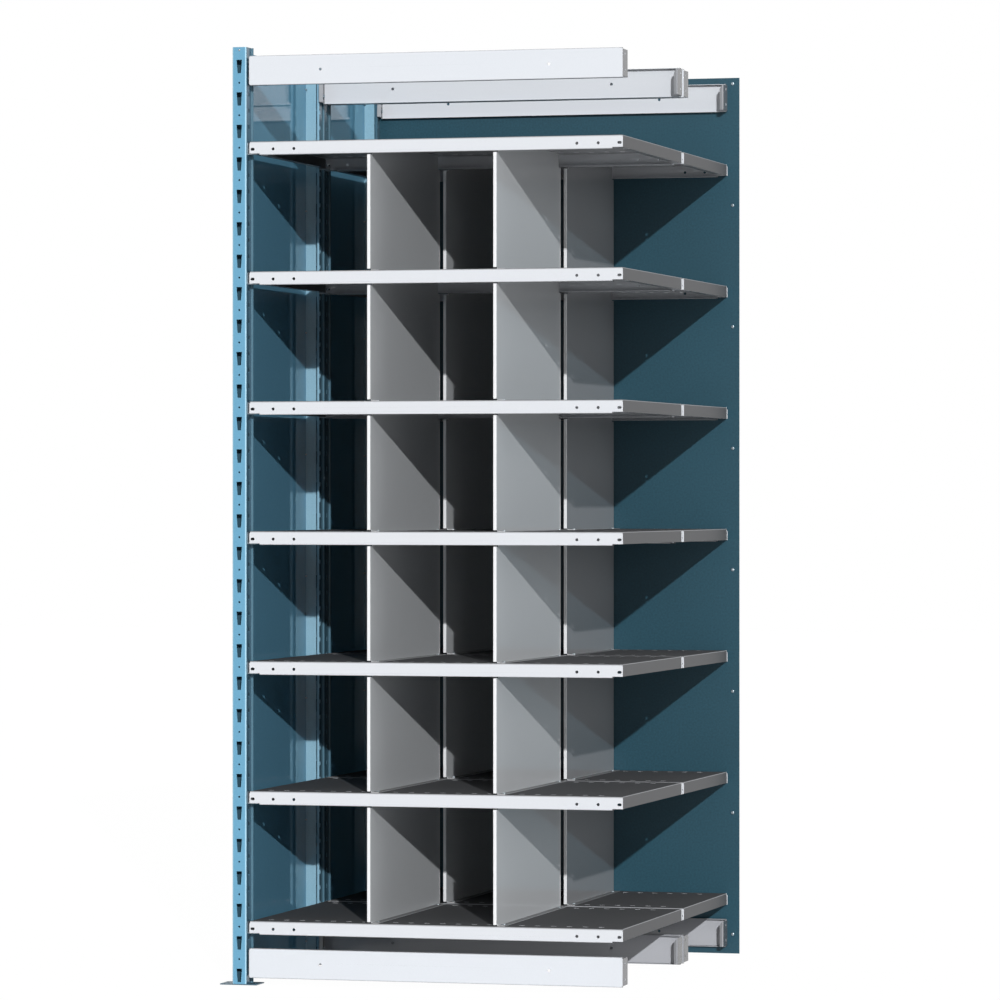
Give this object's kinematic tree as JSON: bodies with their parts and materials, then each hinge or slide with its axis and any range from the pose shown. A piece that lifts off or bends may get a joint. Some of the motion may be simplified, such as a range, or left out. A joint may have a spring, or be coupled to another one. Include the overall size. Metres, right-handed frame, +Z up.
{
  "type": "double-depth steel shelving bay",
  "caption": "Tall open-fronted steel shelving, two units back to back on slotted posts, with shelves, upright dividers, side and back panels and header and base strips.",
  "frame": {"origin": "bottom centre of the whole bookcase, on the floor", "axes": "+Z up, +X to the right along the shelves, -Y towards the open front"},
  "size_m": [1.005, 1.1098, 2.202],
  "materials": {
    "grey_enamel": "baked light grey enamel, semi-gloss",
    "blue_enamel": "baked greyish blue enamel, semi-gloss",
    "zinc": "bright zinc plated steel"
  },
  "bodies": {
    "root": {"shelf_front_1": "grey_enamel", "shelf_front_2": "grey_enamel", "shelf_front_3": "grey_enamel", "shelf_front_4": "grey_enamel", "shelf_front_5": "grey_enamel", "shelf_front_6": "grey_enamel", "shelf_front_7": "grey_enamel", "divider_front_1_a": "grey_enamel", "divider_front_1_b": "grey_enamel", "divider_front_2_a": "grey_enamel", "divider_front_2_b": "grey_enamel", "divider_front_3_a": "grey_enamel", "divider_front_3_b": "grey_enamel", "divider_front_4_a": "grey_enamel", "divider_front_4_b": "grey_enamel", "divider_front_5_a": "grey_enamel", "divider_front_5_b": "grey_enamel", "divider_front_6_a": "grey_enamel", "divider_front_6_b": "grey_enamel", "header_strip_front_unit_front": "grey_enamel", "header_strip_front_unit_back": "grey_enamel", "base_strip_front_unit_front": "grey_enamel", "base_strip_front_unit_back": "grey_enamel", "side_panel_front": "blue_enamel", "shelf_rear_1": "grey_enamel", "shelf_rear_2": "grey_enamel", "shelf_rear_3": "grey_enamel", "shelf_rear_4": "grey_enamel", "shelf_rear_5": "grey_enamel", "shelf_rear_6": "grey_enamel", "shelf_rear_7": "grey_enamel", "divider_rear_1_a": "grey_enamel", "divider_rear_1_b": "grey_enamel", "divider_rear_2_a": "grey_enamel", "divider_rear_2_b": "grey_enamel", "divider_rear_3_a": "grey_enamel", "divider_rear_3_b": "grey_enamel", "divider_rear_4_a": "grey_enamel", "divider_rear_4_b": "grey_enamel", "divider_rear_5_a": "grey_enamel", "divider_rear_5_b": "grey_enamel", "divider_rear_6_a": "grey_enamel", "divider_rear_6_b": "grey_enamel", "header_strip_rear_unit_front": "grey_enamel", "header_strip_rear_unit_back": "grey_enamel", "base_strip_rear_unit_front": "grey_enamel", "base_strip_rear_unit_back": "grey_enamel", "side_panel_rear": "blue_enamel", "post_front": "blue_enamel", "post_middle_front": "blue_enamel", "post_middle_rear": "blue_enamel", "post_rear": "blue_enamel", "back_panel": "blue_enamel", "foot_plates": "blue_enamel", "shelf_clips": "zinc", "divider_screws": "zinc", "side_panel_screws": "zinc", "back_panel_bolts": "zinc", "strip_bolts": "zinc", "post_ties": "zinc"}
  },
  "joints": []
}
